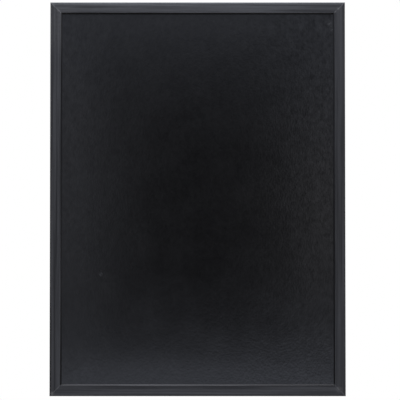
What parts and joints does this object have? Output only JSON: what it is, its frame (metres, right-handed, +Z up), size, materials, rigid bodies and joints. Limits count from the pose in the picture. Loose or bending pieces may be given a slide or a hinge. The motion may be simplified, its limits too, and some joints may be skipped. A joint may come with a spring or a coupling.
{
  "type": "wall chalkboard",
  "caption": "Framed wall chalkboard: black semi-gloss writing panel in a mitred, crowned black wooden moulding, with swinging D-ring hangers and rubber bumpers behind.",
  "frame": {"origin": "in the plane of the wall (the faces of the two rubber bumpers), behind the middle of the board", "axes": "+Z up along the board's height, +X to the right seen from the writing side, +Y backwards into the wall; the writing side looks along -Y"},
  "size_m": [0.6, 0.019, 0.8],
  "materials": {
    "frame_wood": "black stain, satin lacquer, fine straight grain",
    "writing_surface": "semi-gloss black chalk coating, fine orange peel",
    "hardboard": "raw brown hardboard, fine fibre",
    "nail_steel": "bare spring steel",
    "point_steel": "bright rolled strip",
    "strap_plating": "nickel plate, satin",
    "ring_plating": "bright nickel plate on drawn wire",
    "screw_plating": "zinc plate",
    "bumper_rubber": "matt moulded rubber"
  },
  "bodies": {
    "board": {"top_rail": "frame_wood", "bottom_rail": "frame_wood", "left_stile": "frame_wood", "right_stile": "frame_wood", "writing_sheet": "writing_surface", "backing_board": "hardboard", "corner_v_nails": "nail_steel", "panel_points": "point_steel", "left_hanger_strap": "strap_plating", "right_hanger_strap": "strap_plating", "left_hanger_screw": "screw_plating", "right_hanger_screw": "screw_plating", "left_wall_bumper": "bumper_rubber", "right_wall_bumper": "bumper_rubber"},
    "left_ring": {"left_hanger_ring": "ring_plating"},
    "right_ring": {"right_hanger_ring": "ring_plating"}
  },
  "joints": [
    {"name": "left_ring_swing", "type": "hinge", "parent": "board", "child": "left_ring", "pos_m": [-0.29125, -0.00225, 0.28], "axis": [1, 0, 0], "range_deg": [0, 176.7]},
    {"name": "right_ring_swing", "type": "hinge", "parent": "board", "child": "right_ring", "pos_m": [0.29125, -0.00225, 0.28], "axis": [1, 0, 0], "range_deg": [0, 176.7]}
  ]
}
